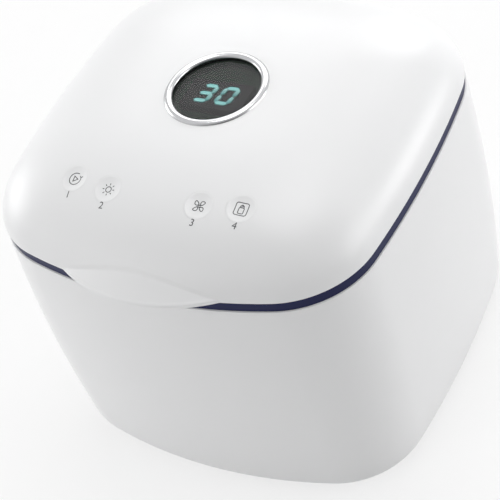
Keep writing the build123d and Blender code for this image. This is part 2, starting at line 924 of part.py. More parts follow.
def make_filter_tray():
    """Louvred rear panel with a shallow open frame for the filter pad."""
    x_low = filter_x - filter_width / 2
    x_high = filter_x + filter_width / 2
    tray = wall_piece(x_low, x_high, depth / 2 - rear_cut, filter_low, filter_low + filter_height)
    pitch = filter_height / filter_bars
    half = pitch * filter_open / 2
    open_low = x_low + filter_margin
    open_high = x_high - filter_margin
    for index in range(1, filter_bars - 1):
        middle = filter_low + pitch * (index + 0.5)
        tray -= box(open_low, open_high, depth / 2 - rear_cut, depth, middle - half, middle + half)
    y_low = depth / 2 - shell_wall - filter_room - filter_depth + duct_wall + filter_gap
    y_high = depth / 2 - shell_wall - tray_room
    frame_high = filter_low + pad_height + tray_wall
    for x in (x_low, x_high - tray_wall):
        tray += box(x, x + tray_wall, y_low, y_high, filter_low, frame_high) & body_outer
    tray += box(x_low, x_high, y_low, y_low + tray_wall, filter_low, frame_high)
    for x in (x_low + filter_width / 3, x_low + filter_width * 2 / 3):
        rail = box(x - tray_rail / 2, x + tray_rail / 2, y_low, y_high, filter_low, filter_low + tray_wall)
        tray += rail & body_outer
    return tray


def make_filter_pad():
    x_low = filter_x - filter_width / 2 + tray_wall + print_gap
    x_high = filter_x + filter_width / 2 - tray_wall - print_gap
    y_high = depth / 2 - shell_wall - filter_room
    y_low = y_high - filter_depth + duct_wall + filter_gap + tray_wall + print_gap
    return box(x_low, x_high, y_low, y_high, filter_low + tray_wall, filter_low + tray_wall + pad_height)


def back_face(x, z):
    """Place along Y of the bowed rear wall's outer face, near its middle."""
    return depth / 2 - front_bow + math.sqrt(front_bow ** 2 - x ** 2) - shell_inset(z)


def make_power_inlet():
    """Socket block with a two-lobed mouth."""
    face = back_face(inlet_x, inlet_z)
    low = inlet_z - inlet_half_z
    high = inlet_z + inlet_half_z
    block = box(inlet_x - inlet_half_x, inlet_x + inlet_half_x, face - inlet_depth, depth, low, high)
    block = block & body_outer
    bottom = face - socket_depth
    mouth = Plane.XZ.offset(-depth) * Pos(inlet_x, inlet_z) * SlotCenterToCenter(socket_pitch, socket_width)
    block -= extrude(mouth, depth - bottom)
    for side in (-1, 1):
        x = inlet_x + side * socket_pitch / 2
        block -= rod_y(x, bottom - pin_root, bottom + 1, inlet_z, pin_radius + screw_gap)
    return block


def make_inlet_pins():
    bottom = back_face(inlet_x, inlet_z) - socket_depth
    pins = []
    for side in (-1, 1):
        x = inlet_x + side * socket_pitch / 2
        pins.append(rod_y(x, bottom - pin_root, bottom + pin_length, inlet_z, pin_radius))
    return group(pins)


def make_main_board():
    low = floor_bottom + board_lift
    return Pos(board_x, board_y, low + board_thick / 2) * Box(board_size_x, board_size_y, board_thick)


def make_board_components():
    """Transformer, capacitors, relay, heat sink and plugs on the main board."""
    low = floor_bottom + board_lift + board_thick
    pieces = [box(board_x - 34, board_x - 4, board_y + 14, board_y + 40, low, low + 22)]
    for index in range(3):
        pieces.append(post(board_x + 12 + index * 13, board_y + 34, low, low + 20, 5.5))
    pieces.append(box(board_x + 8, board_x + 36, board_y - 4, board_y + 10, low, low + 15))
    pieces.append(box(board_x - 36, board_x - 31, board_y - 40, board_y + 6, low, low + 24))
    for index in range(4):
        x = board_x - 20 + index * 16
        pieces.append(box(x, x + 11, board_y - 46, board_y - 39, low, low + 8))
    pieces.append(box(board_x - 18, board_x - 2, board_y - 26, board_y - 10, low, low + 3))
    return group(pieces)


def make_hinge_bracket():
    """Plate on the rear wall with two ears for the pin."""
    reach_x = arm_half + ear_gap + ear_width
    middle = bracket_low + bracket_height / 2
    back = depth / 2 + bracket_plate
    bracket = box(-reach_x, reach_x, depth / 2 - 4, back, bracket_low, bracket_low + bracket_height)
    points = [
        (depth / 2 - 3, bracket_low + 2),
        (depth / 2 - 3, shell_top - print_gap * 2),
        (depth / 2 + 0.2, shell_top - print_gap * 2),
        (depth / 2 + 0.4, shell_top + 1),
        (hinge_y - barrel_radius, hinge_z),
        (hinge_y + barrel_radius, hinge_z),
        (back, bracket_low + 2),
    ]
    for side in (-1, 1):
        low, high = sorted((side * (arm_half + ear_gap), side * reach_x))
        bracket += side_profile(points, low, high)
        bracket += rod_x(low, high, hinge_y, hinge_z, barrel_radius)
    bracket -= body_outer
    bracket -= rod_x(-reach_x - 1, reach_x + 1, hinge_y, hinge_z, pin_shaft + pin_play)
    for side in (-1, 1):
        bracket -= rod_y(side * bracket_screw_x, depth / 2 - 5, back + 1, middle, hole)
    return bracket


def make_body_screws():
    """Screws of the bottom plate, the deck and the hinge bracket."""
    pieces = [screw(x, y, foot_height + head_height, base_screw) for x,
              y in corners(base_boss_x, base_boss_y)]
    pieces += [screw(x, y, shell_top - head_height, deck_screw, up=False) for x,
               y in corners(post_x, post_y)]
    back = depth / 2 + bracket_plate
    middle = bracket_low + bracket_height / 2
    for side in (-1, 1):
        x = side * bracket_screw_x
        shank = rod_y(x, back - bracket_boss_depth, back, middle, screw_radius)
        pieces.append(shank + rod_y(x, back, back + head_height, middle, head_radius))
    return group(pieces)


def make_hinge_pin():
    reach_x = arm_half + ear_gap + ear_width
    return rod_x(-reach_x, reach_x, hinge_y, hinge_z, pin_shaft)


def make_hinge_bushes():
    bushes = []
    for side in (-1, 1):
        low, high = sorted((side * arm_half, side * (arm_half - bush_length)))
        bush = rod_x(low, high, hinge_y, hinge_z, pin_shaft + pin_play + bush_wall)
        bushes.append(bush - rod_x(low - 1, high + 1, hinge_y, hinge_z, pin_shaft + pin_play))
    return group(bushes)


def make_lid_hinge_arm():
    """Bent arm from the lid's inner pan to the hinge barrel."""
    low = seam + liner_thick
    half_y = depth / 2
    points = [
        (half_y - arm_inset, low),
        (half_y - arm_inset, low + arm_thick),
        (half_y - 1, low + arm_thick),
        (hinge_y + 1.5, hinge_z + 7),
        (hinge_y + barrel_radius, hinge_z),
        (hinge_y - barrel_radius, hinge_z),
        (half_y + 0.8, seam + 0.6),
        (half_y - 1.5, low),
    ]
    arm = side_profile(points, -arm_half, arm_half) + rod_x(-arm_half, arm_half, hinge_y, hinge_z,
                                                            barrel_radius)
    for side in (-1, 1):
        bore_low, bore_high = sorted((side * (arm_half + 1), side * (arm_half - bush_length)))
        arm -= rod_x(bore_low, bore_high, hinge_y, hinge_z, pin_shaft + pin_play + bush_wall + screw_gap)
        arm -= post(side * arm_screw_x, arm_screw_y, low - 1, low + arm_thick - 1, hole)
    return arm - rod_x(-arm_half - 1, arm_half + 1, hinge_y, hinge_z, pin_shaft + pin_play)


def screw_places():
    """Places of the screws that hold the lid's inner pan."""
    return [(side * x, y) for x, y in lid_screws_at for side in (-1, 1)]


def arm_screw_places():
    """Places of the screws that hold the hinge arm."""
    return [(side * arm_screw_x, arm_screw_y) for side in (-1, 1)]


def make_lid_cover():
    cover = lid_outer - dome_inner
    for x, y in screw_places():
        boss = post(x, y, seam + liner_thick, pad_top, lid_boss_radius) & dome_outer
        cover += boss
        cover -= post(x, y, seam, seam + liner_thick + lid_screw, hole)
    cover -= post(0, 0, pad_top - 10, pad_top + 1, bezel_inner + bezel_skirt + print_gap)
    for place in key_places:
        cover -= key_frame(place) * Cylinder(key_radius + key_gap, 24)
    notch_top = seam + liner_thick + arm_thick + seat_gap
    cover -= box(-arm_half - ear_gap, arm_half + ear_gap, depth / 2 - arm_notch, depth, seam - 1, notch_top)
    return cover


def make_key(place):
    """Dished cap that follows the dome, with a flange and a stem for its switch."""
    x, y = place
    frame = key_frame(place)
    cap = (frame * Cylinder(key_radius, 2 * key_depth)) & dome_outer
    ball = (dish_radius ** 2 + dish_depth ** 2) / (2 * dish_depth)
    surface = dome_plane(x, y)
    cap -= Plane(origin=surface.origin + surface.z_dir * (ball - dish_depth),
                 z_dir=surface.z_dir) * Sphere(ball)
    flange = frame * Pos(0, 0, -key_depth - key_flange / 2) * Cylinder(key_radius + key_flange, key_flange)
    stem_end = key_board_level(place) - switch_height - key_travel - print_gap
    stem = frame * Pos(0, 0, -(key_depth + stem_end) / 2) * Cylinder(key_stem, stem_end - key_depth)
    return cap + flange + stem


def make_display_bezel():
    """Bright turned ring with a skirt through the lid."""
    outer = bezel_outer
    inner = bezel_inner
    top = pad_top + bezel_lift
    points = [
        (inner, pad_top - bezel_depth),
        (inner + bezel_skirt, pad_top - bezel_depth),
        (inner + bezel_skirt, pad_top),
        (outer, pad_top),
        (outer, pad_top + bezel_lift * 0.4),
        (outer - bezel_lift * 0.6, top),
        (inner + bezel_lift * 0.5, top),
        (inner, top - bezel_lift * 0.5),
    ]
    profile = Plane.XZ * make_face(Polyline(*points, close=True))
    return revolve(profile, Axis.Z)


def window_top():
    return pad_top + bezel_lift - window_drop


def make_display_window():
    return post(0, 0, window_top() - window_thick, window_top(), bezel_inner - print_gap)


def make_display_board():
    low = pad_top - bezel_depth
    return post(0, 0, low, low + board_thick, bezel_inner - print_gap)


def make_display_module():
    """Black block of the two-digit display."""
    low = pad_top - bezel_depth + board_thick
    high = window_top() - window_thick - digit_thick - print_gap
    return Pos(0, digit_y, (low + high) / 2) * Box(module_x, module_y, high - low)


def digit(lit, centre_x):
    """Bars of one seven-segment digit, slanted to the right."""
    half_w = digit_width / 2 - digit_stroke / 2
    half_h = digit_height / 2 - digit_stroke / 2
    long = half_h - digit_stroke / 2 - digit_gap
    wide = 2 * half_w - digit_stroke - digit_gap
    bars = {
        "top": (0, half_h, wide, digit_stroke),
        "middle": (0, 0, wide, digit_stroke),
        "bottom": (0, -half_h, wide, digit_stroke),
        "top_left": (-half_w, half_h / 2, digit_stroke, long),
        "top_right": (half_w, half_h / 2, digit_stroke, long),
        "bottom_left": (-half_w, -half_h / 2, digit_stroke, long),
        "bottom_right": (half_w, -half_h / 2, digit_stroke, long),
    }
    low = window_top() - window_thick - digit_thick - print_gap
    lean = math.tan(math.radians(digit_slant))
    pieces = []
    for name in lit:
        x, y, size_x, size_y = bars[name]
        points = []
        for x_side, y_side in ((-1, -1), (1, -1), (1, 1), (-1, 1)):
            edge_y = y + y_side * size_y / 2
            points.append((centre_x + x + x_side * size_x / 2 + edge_y * lean, digit_y + edge_y, low))
        pieces.append(extrude(make_face(Polyline(*points, close=True)), digit_thick, dir=(0, 0, 1)))
    return pieces


def make_display_segments():
    three = ("top", "middle", "bottom", "top_right", "bottom_right")
    zero = ("top", "bottom", "top_left", "top_right", "bottom_left", "bottom_right")
    return group(digit(three, -digit_pitch / 2) + digit(zero, digit_pitch / 2))


def board_frame():
    """Frame on top of the key board, which lies square to the keys' travel."""
    return Location(panel) * Pos(0, 0, -key_board_drop)


def make_control_board():
    return board_frame() * Pos(0, 0, -board_thick / 2) * Box(key_board_x, key_board_y, board_thick)


def make_tact_switches():
    pieces = []
    for x, y in key_places:
        local = panel.to_local_coords(Vector(x, y, dome_z(x, y)))
        place = board_frame() * Pos(local.X, local.Y, switch_height / 2)
        pieces.append(place * Box(switch_size, switch_size, switch_height))
    return group(pieces)


def make_lid_liner():
    """Inner pan that closes the lid from below, with a deep recess for the upper tube."""
    top = seam + liner_thick
    liner = plate(liner_inset, seam, top)
    wall = 2 * lamp_pan_wall
    pan_top = seam + lamp_pan_rise
    corner = lamp_pan_corner + lamp_pan_wall
    liner += round_plate(lamp_pan_x + wall, lamp_pan_y + wall, corner, seam, pan_top + lamp_pan_wall)
    liner -= round_plate(lamp_pan_x, lamp_pan_y, lamp_pan_corner, seam - 1, pan_top)
    rim = 2 * guard_rim
    corner = lamp_pan_corner + guard_rim
    liner -= round_plate(lamp_pan_x + rim, lamp_pan_y + rim, corner, seam - 1,
                         seam + guard_sheet + print_gap)
    below_board = board_frame() * Pos(0, 0, -board_thick - width / 2) * Box(2 * width, 2 * width, width)
    for side in (-1, 1):
        for way in (-1, 1):
            x = side * (key_board_x / 2 - key_board_edge)
            y = board_frame().position.Y + way * key_board_spread / 2
            liner += post(x, y, top, seam + dome_height, key_board_leg) & below_board
    for x, y in screw_places() + arm_screw_places():
        liner -= post(x, y, seam - 1, top + 1, hole + head_gap / 2)
        liner -= post(x, y, seam - 1, seam + head_height + print_gap, head_radius + head_gap)
    return liner


def make_lid_screws():
    level = seam + head_height + print_gap
    pieces = [screw(x, y, level, lid_screw) for x, y in screw_places()]
    pieces += [screw(x, y, level, liner_thick + 1) for x, y in arm_screw_places()]
    return group(pieces)


def make_tube_guard():
    rim = 2 * guard_rim - 2 * print_gap
    corner = lamp_pan_corner + guard_rim - print_gap
    guard = round_plate(lamp_pan_x + rim, lamp_pan_y + rim, corner, seam + print_gap, seam + guard_sheet)
    count = int((lamp_pan_x - 2 * guard_slot_room) / guard_slot_pitch)
    slot = Box(guard_slot_width, lamp_pan_y - 2 * guard_slot_edge, guard_sheet * 3)
    for index in range(count):
        x = (index - (count - 1) / 2) * guard_slot_pitch
        guard -= Pos(x, 0, seam + guard_sheet / 2) * slot
    return guard


def make_lid_seal():
    """Soft square ring that lands over the chamber's flange."""
    inner = 2 * seal_out
    outer = 2 * (seal_out + seal_width)
    low = shell_top + sheet + lid_gap
    ring = round_plate(chamber_x + outer, chamber_y + outer, chamber_corner + seal_out + seal_width,
                       low, seam)
    return ring - round_plate(chamber_x + inner, chamber_y + inner, chamber_corner + seal_out, low - 1,
                              seam + 1)


def make_lid_magnet():
    low = seam + liner_thick
    return post(magnet_x, magnet_y, low, low + magnet_height, magnet_radius)


def make_lid_switch():
    high = shell_top - deck_thickness
    return Pos(magnet_x, magnet_y, high - reed_height / 2) * Box(reed_x, reed_y, reed_height)


parts = {
    "body_shell": make_body_shell(),
    "base_plate": make_base_plate(),
    "feet": make_feet(),
    "trim_ring": make_trim_ring(),
    "top_frame": make_top_frame(),
    "chamber_liner": make_chamber_liner(),
    "exhaust_duct": make_exhaust_duct(),
    "exhaust_grille": make_exhaust_grille(),
    "floor_grille": make_floor_grille(),
    "lower_uv_tube": make_tube(lower_tube_z),
    "lower_tube_caps": make_tube_caps(lower_tube_z),
    "lower_tube_holders": make_tube_holders(lower_tube_z, chamber_floor, grille_z - print_gap),
    "lower_reflector": make_reflector(chamber_floor + print_gap, 1),
    "rack_floor": make_rack_floor(),
    "rack_front": rack_panel(rack_x, True, -rack_y / 2 + rack_rail / 2),
    "rack_back": rack_panel(rack_x, True, rack_y / 2 - rack_rail / 2),
    "rack_left": rack_panel(rack_y - 2 * rack_rail - 2 * print_gap, False, -rack_x / 2 + rack_rail / 2),
    "rack_right": rack_panel(rack_y - 2 * rack_rail - 2 * print_gap, False, rack_x / 2 - rack_rail / 2),
    "blower_housing": make_blower_housing(),
    "blower_cover": make_blower_cover(),
    "blower_motor": make_blower_motor(),
    "impeller": make_impeller(),
    "heater_frame": make_heater_frame(),
    "heater_fins": make_heater_fins(),
    "air_duct": make_air_duct(),
    "filter_housing": make_filter_housing(),
    "filter_tray": make_filter_tray(),
    "filter_pad": make_filter_pad(),
    "power_inlet": make_power_inlet(),
    "inlet_pins": make_inlet_pins(),
    "main_board": make_main_board(),
    "board_components": make_board_components(),
    "hinge_bracket": make_hinge_bracket(),
    "body_screws": make_body_screws(),
    "hinge_pin": make_hinge_pin(),
    "hinge_bushes": make_hinge_bushes(),
    "lid_hinge_arm": make_lid_hinge_arm(),
    "lid_cover": make_lid_cover(),
    "display_bezel": make_display_bezel(),
    "display_window": make_display_window(),
    "display_board": make_display_board(),
    "display_module": make_display_module(),
    "display_segments": make_display_segments(),
    "control_board": make_control_board(),
    "tact_switches": make_tact_switches(),
    "lid_liner": make_lid_liner(),
    "lid_screws": make_lid_screws(),
    "upper_uv_tube": make_tube(upper_tube_z),
    "upper_tube_caps": make_tube_caps(upper_tube_z),
    "upper_tube_holders": make_tube_holders(upper_tube_z, seam + guard_sheet + print_gap,
                                            seam + lamp_pan_rise),
    "upper_reflector": make_reflector(seam + lamp_pan_rise, -1),
    "tube_guard": make_tube_guard(),
    "lid_seal": make_lid_seal(),
    "lid_magnet": make_lid_magnet(),
    "lid_switch": make_lid_switch(),
}
for number, place in enumerate(key_places, start=1):
    parts[f"key_{number}"] = make_key(place)

os.makedirs("parts", exist_ok=True)
for name, shape in parts.items():
    export_step(shape, f"parts/{name}.step")
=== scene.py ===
import math

import bmesh
import bpy
import numpy as np
from mathutils import Matrix, Vector


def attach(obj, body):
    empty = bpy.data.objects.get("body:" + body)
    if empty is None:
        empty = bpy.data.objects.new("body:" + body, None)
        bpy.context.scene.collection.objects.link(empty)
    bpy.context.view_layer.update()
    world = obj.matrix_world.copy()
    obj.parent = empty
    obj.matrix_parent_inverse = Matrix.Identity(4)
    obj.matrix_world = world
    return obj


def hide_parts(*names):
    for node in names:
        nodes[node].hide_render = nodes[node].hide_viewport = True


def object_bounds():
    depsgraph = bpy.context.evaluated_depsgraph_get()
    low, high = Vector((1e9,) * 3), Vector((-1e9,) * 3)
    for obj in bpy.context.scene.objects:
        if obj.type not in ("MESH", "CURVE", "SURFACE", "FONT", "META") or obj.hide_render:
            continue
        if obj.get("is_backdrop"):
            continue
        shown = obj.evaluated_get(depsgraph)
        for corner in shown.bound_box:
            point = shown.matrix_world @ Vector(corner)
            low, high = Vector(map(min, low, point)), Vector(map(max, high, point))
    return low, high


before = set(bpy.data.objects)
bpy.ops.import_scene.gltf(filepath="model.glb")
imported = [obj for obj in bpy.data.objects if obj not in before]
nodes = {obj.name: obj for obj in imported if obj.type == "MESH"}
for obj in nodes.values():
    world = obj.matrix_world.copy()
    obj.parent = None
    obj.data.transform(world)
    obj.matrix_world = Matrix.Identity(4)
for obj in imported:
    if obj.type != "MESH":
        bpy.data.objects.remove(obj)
cad_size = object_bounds()
scene = bpy.context.scene

# Camera: above the front right corner of the box, turned on its own axis as the photograph is.
camera = bpy.data.objects.new("camera", bpy.data.cameras.new("camera"))
camera.data.sensor_width = 36.0
camera.data.lens = 124.32
camera.location = (0.58843, -0.73316, 1.02495)
camera.rotation_euler = [math.radians(turn) for turn in (43.956, 13.493, 26.041)]
scene.collection.objects.link(camera)
scene.camera = camera
scene.view_settings.view_transform = "Standard"

# Studio light: soft lamps round the box, and a grey sky that is darker on the side of the camera. Gloss sees
# a brighter sky with a blacker camera side and no front lamp, which gives bright metal its dark edge. The
# camera and glass see the sky white.
class Wire:
    """Value at a socket of a finish. Arithmetic on it adds Math nodes."""

    def __init__(self, finish, socket):
        self.finish = finish
        self.socket = socket

    def math(self, operation, other, swap=False):
        pair = (other, self) if swap else (self, other)
        return self.finish.node("Math", {"operation": operation}, dict(enumerate(pair)))

    def __add__(self, other):
        return self.math("ADD", other)

    def __sub__(self, other):
        return self.math("SUBTRACT", other)

    def __rsub__(self, other):
        return self.math("SUBTRACT", other, swap=True)

    def __mul__(self, other):
        return self.math("MULTIPLY", other)

    def __truediv__(self, other):
        return self.math("DIVIDE", other)

    __radd__ = __add__
    __rmul__ = __mul__


class Finish:
    """Shader nodes of one material, or of the sky, round its one shader."""

    def __init__(self, name, sky=None):
        self.material = sky or bpy.data.materials.new(name)
        self.material.use_nodes = True
        self.tree = self.material.node_tree
        self.shader = self.tree.nodes.get("Background" if sky else "Principled BSDF")

    def node(self, kind, settings=None, values=None, output=0):
        """Adds a node, makes its settings, then sets or links its sockets, and gives one output."""
        node = self.tree.nodes.new("ShaderNode" + kind)
        for key, setting in (settings or {}).items():
            setattr(node, key, setting)
        self.fill(node, values or {})
        return Wire(self, node.outputs[output])

    def fill(self, node, values):
        for key, value in values.items():
            if isinstance(value, Wire):
                self.tree.links.new(value.socket, node.inputs[key])
            else:
                if node.inputs[key].type == "RGBA":
                    value = (*value, 1)
                node.inputs[key].default_value = value

    def place(self, stretch=(1, 1, 1)):
        """Object coordinates in metres, stretched along the axes."""
        spot = self.node("TexCoord", output=3)
        return self.node("Mapping", None, {"Vector": spot, "Scale": stretch})

    def seen(self, *rays):
        """1 where the ray is one of these kinds, and 0 elsewhere."""
        first, *others = [self.node("LightPath", output=f"Is {ray} Ray") for ray in rays]
        return sum(others, first)

    def noise(self, scale, detail=3.0, stretch=(1, 1, 1)):
        return self.node("TexNoise", None, {"Vector": self.place(stretch), "Scale": scale, "Detail": detail})

    def mix(self, share, first, second):
        """Colour between two colours."""
        return self.node("Mix", {"data_type": "RGBA"}, {0: share, 6: first, 7: second}, output=2)

    def spread(self, value, low, high, from_low=0.0, from_high=1.0):
        """Value moved from one range to another."""
        ends = {"From Min": from_low, "From Max": from_high, "To Min": low, "To Max": high}
        return self.node("MapRange", None, {"Value": value, **ends})

    def bump(self, height, distance):
        return self.node("Bump", None, {"Height": height, "Distance": distance})

    def shade(self, values):
        self.fill(self.shader, values)
        return self.material


room_level = 0.42
camera_side = (0.6, -0.8, 0.0)
dark_side = 0.7
dark_side_gloss = 0.25
lamp_aim = (0, 0, 0.15)
sky = bpy.data.worlds.new("studio")
scene.world = sky
room = Finish("studio", sky)
spot = room.node("TexCoord")
toward = room.node("VectorMath", {"operation": "DOT_PRODUCT"}, {0: spot, 1: camera_side}, output=1)
toward = room.node("Math", {"operation": "MAXIMUM"}, {0: toward, 1: 0.0})
gloss = room.seen("Glossy")
shade = 1 - (dark_side + dark_side_gloss * gloss) * toward * toward
plain = shade * (room_level + (1 - room_level) * gloss)
open_sky = room.seen("Camera", "Transmission")
room.shade({"Color": (1, 1, 1), "Strength": open_sky + (1 - open_sky) * plain})
for name, place, size, power in (
    ("lamp_left", (-1.7, 0.0, 0.5), 0.8, 6.4),
    ("lamp_right_back", (1.5, 1.1, 0.45), 0.5, 5.9),
    ("lamp_right", (1.7, 0.3, 0.8), 0.8, 6.4),
    ("lamp_back", (0.0, 1.6, 1.1), 0.8, 7.8),
    ("lamp_back_left", (-0.9, 1.4, 1.3), 0.8, 5.4),
    ("lamp_front", (-0.9, -1.6, 0.7), 1.0, 9.8),
    ("lamp_top", (0.1, 0.3, 2.2), 1.2, 12.6),
):
    lamp = bpy.data.lights.new(name, "AREA")
    lamp.size = size
    lamp.energy = power
    holder = bpy.data.objects.new(name, lamp)
    holder.location = place
    holder.visible_glossy = name != "lamp_front"
    holder.rotation_euler = (Vector(place) - Vector(lamp_aim)).to_track_quat("Z", "Y").to_euler()
    scene.collection.objects.link(holder)


# Floor: a plain white sheet. The camera, gloss and glass see it almost white, and it keeps the shadow.
floor_glow = 0.72


def floor_material():
    finish = Finish("floor_sheet")
    paper = finish.mix(finish.noise(40.0), (0.83, 0.83, 0.83), (0.87, 0.87, 0.87))
    material = finish.shade({"Base Color": paper, "Roughness": 0.9})
    glow = finish.node("Emission", None, {"Color": (1, 1, 1), "Strength": 1.0})
    rays = finish.seen("Camera", "Glossy", "Transmission")
    both = finish.node("MixShader", None, {0: floor_glow * rays, 2: glow})
    finish.tree.links.new(finish.shader.outputs[0], both.socket.node.inputs[1])
    finish.tree.links.new(both.socket, finish.tree.nodes["Material Output"].inputs["Surface"])
    return material


floor = bpy.data.objects.new("floor", bpy.data.meshes.new("floor"))
floor.data.from_pydata([(-6, -6, 0), (6, -6, 0), (6, 6, 0), (-6, 6, 0)], [], [(0, 1, 2, 3)])
floor.data.materials.append(floor_material())
scene.collection.objects.link(floor)
floor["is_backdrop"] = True

# Body shell: one white ABS moulding whose bowed sides swell a little and draw in towards the floor, with a
# round foot edge and openings in the rear wall for the air filter, the mains inlet and the air outlet.
half_width = 150.0
half_depth = 150.5
side_bow = 760.0
front_bow = 371.0
corner_round = 68.5
foot_height = 3.0
shell_top = 206.5
edge_round = 12.0
bottom_taper = 2.7
wall_bulge = 3.6
shell_wall = 3.0
plate_inset = 21.0
wall_spacing = 3.0
filter_opening = ((-100.5, 120, 13.5), (-19.5, 170, 34.5))
inlet_opening = ((55.7, 120, 17.7), (84.3, 170, 36.3))
outlet_opening = ((-42.3, 120, 159.7), (42.3, 170, 184.3))


def outline_columns(spacing, front_spacing=None):
    """Points in mm round the plan outline, and the outward directions there."""
    side_x = half_width - side_bow
    front_y = half_depth - front_bow
    near = side_bow - corner_round
    far = front_bow - corner_round
    gap = math.hypot(side_x, front_y)
    along = (near ** 2 - far ** 2 + gap ** 2) / (2 * gap)
    across = math.sqrt(near ** 2 - along ** 2)
    corner_x = side_x - side_x / gap * along - front_y / gap * across
    corner_y = front_y / gap * along - side_x / gap * across
    side_turn = math.atan2(corner_y, corner_x - side_x)
    front_turn = math.atan2(corner_y - front_y, corner_x)
    quarter = []
    for x, y, radius, first, last, step in (
        (side_x, 0, side_bow, 0, side_turn, spacing),
        (corner_x, corner_y, corner_round, side_turn, front_turn, spacing),
        (0, front_y, front_bow, front_turn, math.pi / 2, front_spacing or spacing),
    ):
        for turn in np.linspace(first, last, round(radius * (last - first) / step), endpoint=False):
            way_x, way_y = math.cos(turn), math.sin(turn)
            quarter.append((x + radius * way_x, y + radius * way_y, way_x, way_y))
    quarter = np.array(quarter + [(0, half_depth, 0, 1)])
    rest = [
        quarter[::-1][1:] * (-1, 1, -1, 1),
        quarter[1:] * (-1, -1, -1, -1),
        quarter[::-1][1:-1] * (1, -1, 1, -1),
    ]
    ring = np.concatenate([quarter] + rest)
    return ring[:, :2], ring[:, 2:]


def add_mesh(name, points, faces, sharp=35.0):
    """Object made from points in mm, shaded smooth where faces meet at less than the sharp angle."""
    mesh = bpy.data.meshes.new(name)
    mesh.from_pydata((np.asarray(points, float) / 1000).tolist(), [], faces)
    form = bmesh.new()
    form.from_mesh(mesh)
    bmesh.ops.recalc_face_normals(form, faces=form.faces)
    form.to_mesh(mesh)
    form.free()
    piece = bpy.data.objects.new(name, mesh)
    scene.collection.objects.link(piece)
    soften(piece, sharp)
    return piece


def soften(piece, sharp=35.0):
    piece.data.polygons.foreach_set("use_smooth", [True] * len(piece.data.polygons))
    piece.data.set_sharp_from_angle(angle=math.radians(sharp))


def net(grid, closed=True):
    """Points and faces of a grid whose columns run round a loop, and whose rows do too if closed."""
    rows, columns = grid.shape[:2]
    index = np.arange(rows * columns).reshape(rows, columns)
    low, high = (index, np.roll(index, -1, axis=0)) if closed else (index[:-1], index[1:])
    faces = np.stack((low, np.roll(low, -1, axis=1), np.roll(high, -1, axis=1), high), axis=-1)
    return grid.reshape(-1, 3), faces.reshape(-1, 4).tolist()


def wall_ring(name, profile):
    """Closed ring swept round the plan outline, from a loop of insets and heights in mm."""
    points, normals = outline_columns(wall_spacing)
    grid = [np.column_stack((points - inset * normals, np.full(len(points), z))) for inset, z in profile]
    return add_mesh(name, *net(np.array(grid)))


def block(low, high):
    """Plain box between two corners in mm, used to cut openings."""
    points = [(x, y, z) for x in (low[0], high[0]) for y in (low[1], high[1]) for z in (low[2], high[2])]
    faces = [(0, 1, 3, 2), (4, 6, 7, 5), (0, 4, 5, 1), (2, 3, 7, 6), (0, 2, 6, 4), (1, 5, 7, 3)]
    return add_mesh("cutter", points, faces)


def cut(piece, tools):
    """Takes closed pieces away from a piece."""
    for tool in tools:
        step = piece.modifiers.new("cut", "BOOLEAN")
        step.operation = "DIFFERENCE"
        step.solver = "EXACT"
        step.object = tool
    finished = bpy.data.meshes.new_from_object(piece.evaluated_get(bpy.context.evaluated_depsgraph_get()))
    piece.modifiers.clear()
    piece.data = finished
    for tool in tools:
        bpy.data.objects.remove(tool)
    soften(piece)


def fit(piece, material, slot, body, *replaced):
    """Gives a piece its material and body, and hides the CAD nodes it stands for. The slot is not used."""
    piece.data.materials.clear()
    piece.data.materials.append(material)
    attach(piece, body)
    if replaced:
        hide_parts(*replaced)


def dress(material, *names):
    """Gives CAD nodes that keep their own shape a material."""
    for name in names:
        for place in nodes[name].material_slots:
            place.material = material


def surface(name, first, second, rough, scale=900.0, depth=0.00001, stretch=(1, 1, 1), mottle=0.0,
            fixed=None):
    """Finish that drifts between two colours, with a grain that moves its roughness and its surface."""
    finish = Finish(name)
    clouds = finish.noise(9.0, 2.0)
    grain = finish.noise(scale, 3.0, stretch)
    share = clouds * (1 - mottle) + grain * mottle if mottle else clouds
    return finish.shade({
        "Base Color": finish.mix(share, first, second),
        "Roughness": finish.spread(grain * 0.7 + clouds * 0.3, rough[0], rough[1], 0.3, 0.7),
        "Normal": finish.bump(grain, depth),
        **(fixed or {}),
    })


def shell_inset(z):
    down = (shell_top - z) / (shell_top - foot_height - edge_round)
    return bottom_taper * down - wall_bulge * 4 * down * (1 - down)


def shell_side(inset, wall_rows, round_rows):
    """Insets and heights from the top of the wall to the end of the foot round."""
    side = [(inset + shell_inset(z), z) for z in np.linspace(shell_top, foot_height + edge_round, wall_rows)]
    radius = edge_round - inset
    for turn in np.linspace(0, math.pi / 2, round_rows)[1:]:
        across = inset + bottom_taper + radius * (1 - math.cos(turn))
        side.append((across, foot_height + edge_round - radius * math.sin(turn)))
    return side


white = surface("white_gloss_abs", (0.80, 0.803, 0.81), (0.83, 0.832, 0.836), (0.29, 0.38), 60.0, 0.00002,
                fixed={"IOR": 1.49})
outer_side = [(0.5, shell_top), (0.15, shell_top - 0.15)]
outer_side += [(inset, min(z, shell_top - 0.5)) for inset, z in shell_side(0, 44, 12)]
foot_side = [(plate_inset, foot_height), (plate_inset, foot_height + shell_wall)]
inner_side = shell_side(shell_wall, 10, 5)[::-1]
shell = wall_ring("body_moulding", outer_side + foot_side + inner_side)
cut(shell, [block(*opening) for opening in (filter_opening, inlet_opening, outlet_opening)])
fit(shell, white, "white_shell", "housing", "body_shell")

